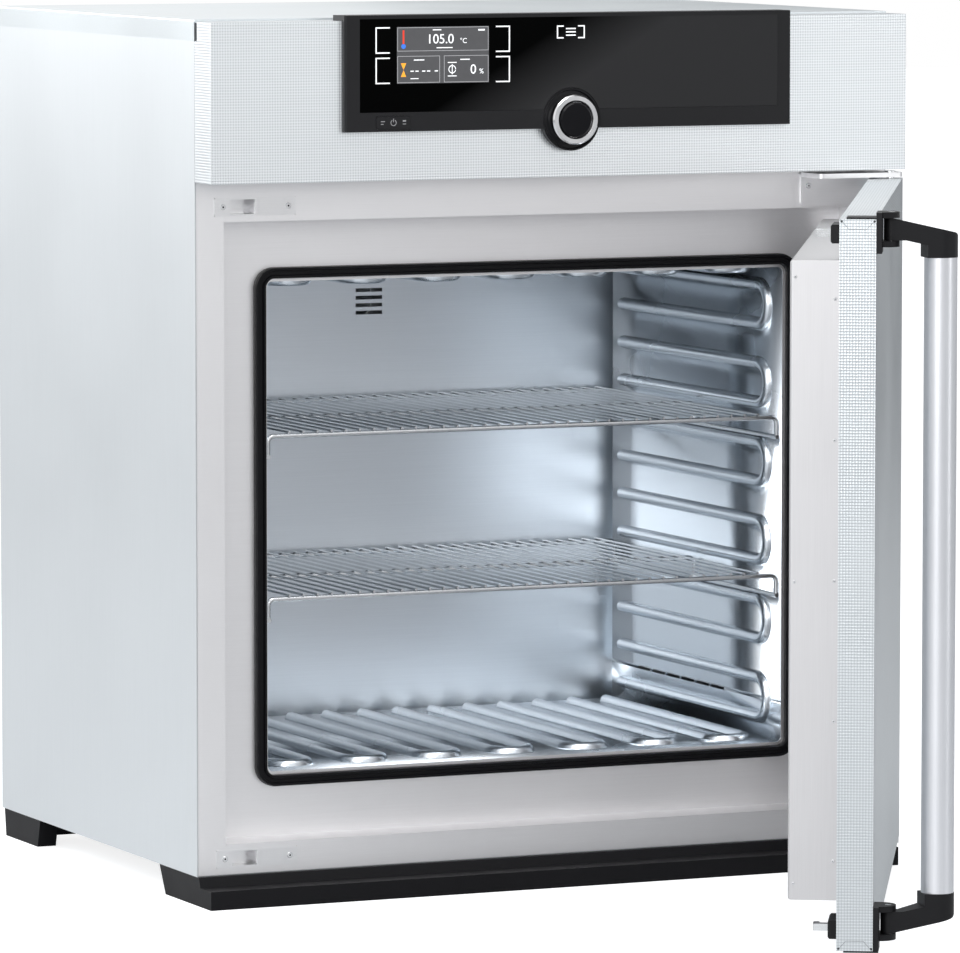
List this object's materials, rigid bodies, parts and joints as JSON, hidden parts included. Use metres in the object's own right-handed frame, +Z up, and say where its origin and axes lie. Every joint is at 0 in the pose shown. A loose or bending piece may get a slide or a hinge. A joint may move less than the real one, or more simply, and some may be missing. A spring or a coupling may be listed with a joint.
{
  "type": "laboratory oven",
  "caption": "Benchtop laboratory oven with open plug door, ribbed steel chamber, wire grids, dark glass control panel, turn knob, lever handle and stepped plinth",
  "frame": {"origin": "on the standing surface, middle of the underside of the front plinth strip, in the plane of the front frame", "axes": "+X to the right, +Y to the back, +Z up"},
  "size_m": [0.7501, 1.2508, 0.8603],
  "materials": {
    "plinth_foot_left": "matt charcoal",
    "plinth_foot_right": "matt charcoal",
    "plinth_strip": "matt charcoal",
    "rear_feet": "matt charcoal",
    "rear_rail": "matt charcoal",
    "bottom_pan": "textured stainless sheet",
    "side_panel_left": "textured stainless sheet",
    "side_panel_right": "textured stainless sheet",
    "lid": "textured stainless sheet",
    "rear_panel": "textured stainless sheet",
    "power_inlet": "black moulding",
    "front_frame": "satin stainless sheet",
    "recess_pan": "satin stainless sheet",
    "strike_plate_top": "satin stainless sheet",
    "strike_plate_bottom": "satin stainless sheet",
    "chamber_left": "semi-bright stainless sheet",
    "chamber_right": "semi-bright stainless sheet",
    "chamber_floor": "semi-bright stainless sheet",
    "chamber_ceiling": "semi-bright stainless sheet",
    "chamber_back": "semi-bright stainless sheet",
    "chamber_flange": "satin stainless sheet",
    "door_gasket": "black silicone",
    "wall_heaters": "foil-faced heating sheet",
    "intake_channel": "plain sheet steel",
    "exhaust_duct": "plain sheet steel",
    "flap_motor": "black moulding",
    "insulation": "mineral wool",
    "compartment_floor": "plain sheet steel",
    "power_supply": "folded sheet housing",
    "fascia": "textured stainless sheet",
    "cockpit_bezel": "charcoal moulding",
    "cockpit_glass": "dark glazed front",
    "display_module": "display panel",
    "control_board": "circuit board",
    "knob_surround": "charcoal moulding",
    "encoder": "black moulding",
    "hinge_bracket_top": "satin stainless sheet",
    "hinge_bracket_bottom": "satin stainless sheet",
    "hinge_pins": "bright stainless steel",
    "door_skin": "textured stainless sheet",
    "door_plug": "satin stainless sheet",
    "door_insulation": "mineral wool",
    "hinge_bushings": "bright stainless steel",
    "latch_case_top": "matt black moulding",
    "latch_case_bottom": "matt black moulding",
    "handle_bracket_top": "matt black moulding",
    "handle_bracket_bottom": "matt black moulding",
    "handle_pins": "bright stainless steel",
    "handle_arm_top": "matt black moulding",
    "handle_arm_bottom": "matt black moulding",
    "handle_tube": "satin anodised",
    "latch_hook_top": "bright stainless steel",
    "latch_hook_bottom": "bright stainless steel",
    "knob_ring": "polished ring",
    "knob_button": "black cap",
    "power_key": "charcoal moulding",
    "grid_upper": "bright stainless steel",
    "grid_lower": "bright stainless steel",
    "exhaust_flap": "plain sheet steel"
  },
  "bodies": {
    "cabinet": {"plinth_foot_left": "plinth_foot_left", "plinth_foot_right": "plinth_foot_right", "plinth_strip": "plinth_strip", "rear_feet": "rear_feet", "rear_rail": "rear_rail", "bottom_pan": "bottom_pan", "side_panel_left": "side_panel_left", "side_panel_right": "side_panel_right", "lid": "lid", "rear_panel": "rear_panel", "power_inlet": "power_inlet", "front_frame": "front_frame", "recess_pan": "recess_pan", "strike_plate_top": "strike_plate_top", "strike_plate_bottom": "strike_plate_bottom", "chamber_left": "chamber_left", "chamber_right": "chamber_right", "chamber_floor": "chamber_floor", "chamber_ceiling": "chamber_ceiling", "chamber_back": "chamber_back", "chamber_flange": "chamber_flange", "door_gasket": "door_gasket", "wall_heaters": "wall_heaters", "intake_channel": "intake_channel", "exhaust_duct": "exhaust_duct", "flap_motor": "flap_motor", "insulation": "insulation", "compartment_floor": "compartment_floor", "power_supply": "power_supply", "fascia": "fascia", "cockpit_bezel": "cockpit_bezel", "cockpit_glass": "cockpit_glass", "display_module": "display_module", "control_board": "control_board", "knob_surround": "knob_surround", "encoder": "encoder", "hinge_bracket_top": "hinge_bracket_top", "hinge_bracket_bottom": "hinge_bracket_bottom", "hinge_pins": "hinge_pins"},
    "door": {"door_skin": "door_skin", "door_plug": "door_plug", "door_insulation": "door_insulation", "hinge_bushings": "hinge_bushings", "latch_case_top": "latch_case_top", "latch_case_bottom": "latch_case_bottom", "handle_bracket_top": "handle_bracket_top", "handle_bracket_bottom": "handle_bracket_bottom", "handle_pins": "handle_pins"},
    "handle": {"handle_arm_top": "handle_arm_top", "handle_arm_bottom": "handle_arm_bottom", "handle_tube": "handle_tube"},
    "hook_top": {"latch_hook_top": "latch_hook_top"},
    "hook_bottom": {"latch_hook_bottom": "latch_hook_bottom"},
    "knob": {"knob_ring": "knob_ring"},
    "confirm_button": {"knob_button": "knob_button"},
    "power_button": {"power_key": "power_key"},
    "upper_grid": {"grid_upper": "grid_upper"},
    "lower_grid": {"grid_lower": "grid_lower"},
    "flap": {"exhaust_flap": "exhaust_flap"}
  },
  "joints": [
    {"name": "door_hinge", "type": "hinge", "parent": "cabinet", "child": "door", "pos_m": [0.362, -0.031, 0.36025], "axis": [0, 0, 1], "range_deg": [-60.7, 119.3]},
    {"name": "handle_turn", "type": "hinge", "parent": "door", "child": "handle", "pos_m": [0.03536, -0.66415, 0.36725], "axis": [0, 0, 1], "range_deg": [0, 35]},
    {"name": "hook_top_slide", "type": "slide", "parent": "door", "child": "hook_top", "axis": [0.4894, 0.8721, 0], "range_m": [0, 0.012]},
    {"name": "hook_bottom_slide", "type": "slide", "parent": "door", "child": "hook_bottom", "axis": [0.4894, 0.8721, 0], "range_m": [0, 0.012]},
    {"name": "knob_turn", "type": "hinge", "parent": "cabinet", "child": "knob", "pos_m": [0.0025, -0.049, 0.7569], "axis": [0, -1, 0], "continuous": true},
    {"name": "confirm_press", "type": "slide", "parent": "cabinet", "child": "confirm_button", "axis": [0, 1, 0], "range_m": [0, 0.0015], "stiffness_N_per_m": 800},
    {"name": "power_press", "type": "slide", "parent": "cabinet", "child": "power_button", "axis": [0, 1, 0], "range_m": [0, 0.001], "stiffness_N_per_m": 1000},
    {"name": "upper_grid_slide", "type": "slide", "parent": "cabinet", "child": "upper_grid", "axis": [0, -1, 0], "range_m": [0, 0.08]},
    {"name": "lower_grid_slide", "type": "slide", "parent": "cabinet", "child": "lower_grid", "axis": [0, -1, 0], "range_m": [0, 0.08]},
    {"name": "flap_turn", "type": "hinge", "parent": "cabinet", "child": "flap", "pos_m": [0, 0.5, 0.549], "axis": [1, 0, 0], "range_deg": [0, 90]}
  ],
  "couplings": [
    {"joint": "hook_top_slide", "follows": "handle_turn", "m_per_rad": 0.019644},
    {"joint": "hook_bottom_slide", "follows": "handle_turn", "m_per_rad": 0.019644}
  ]
}
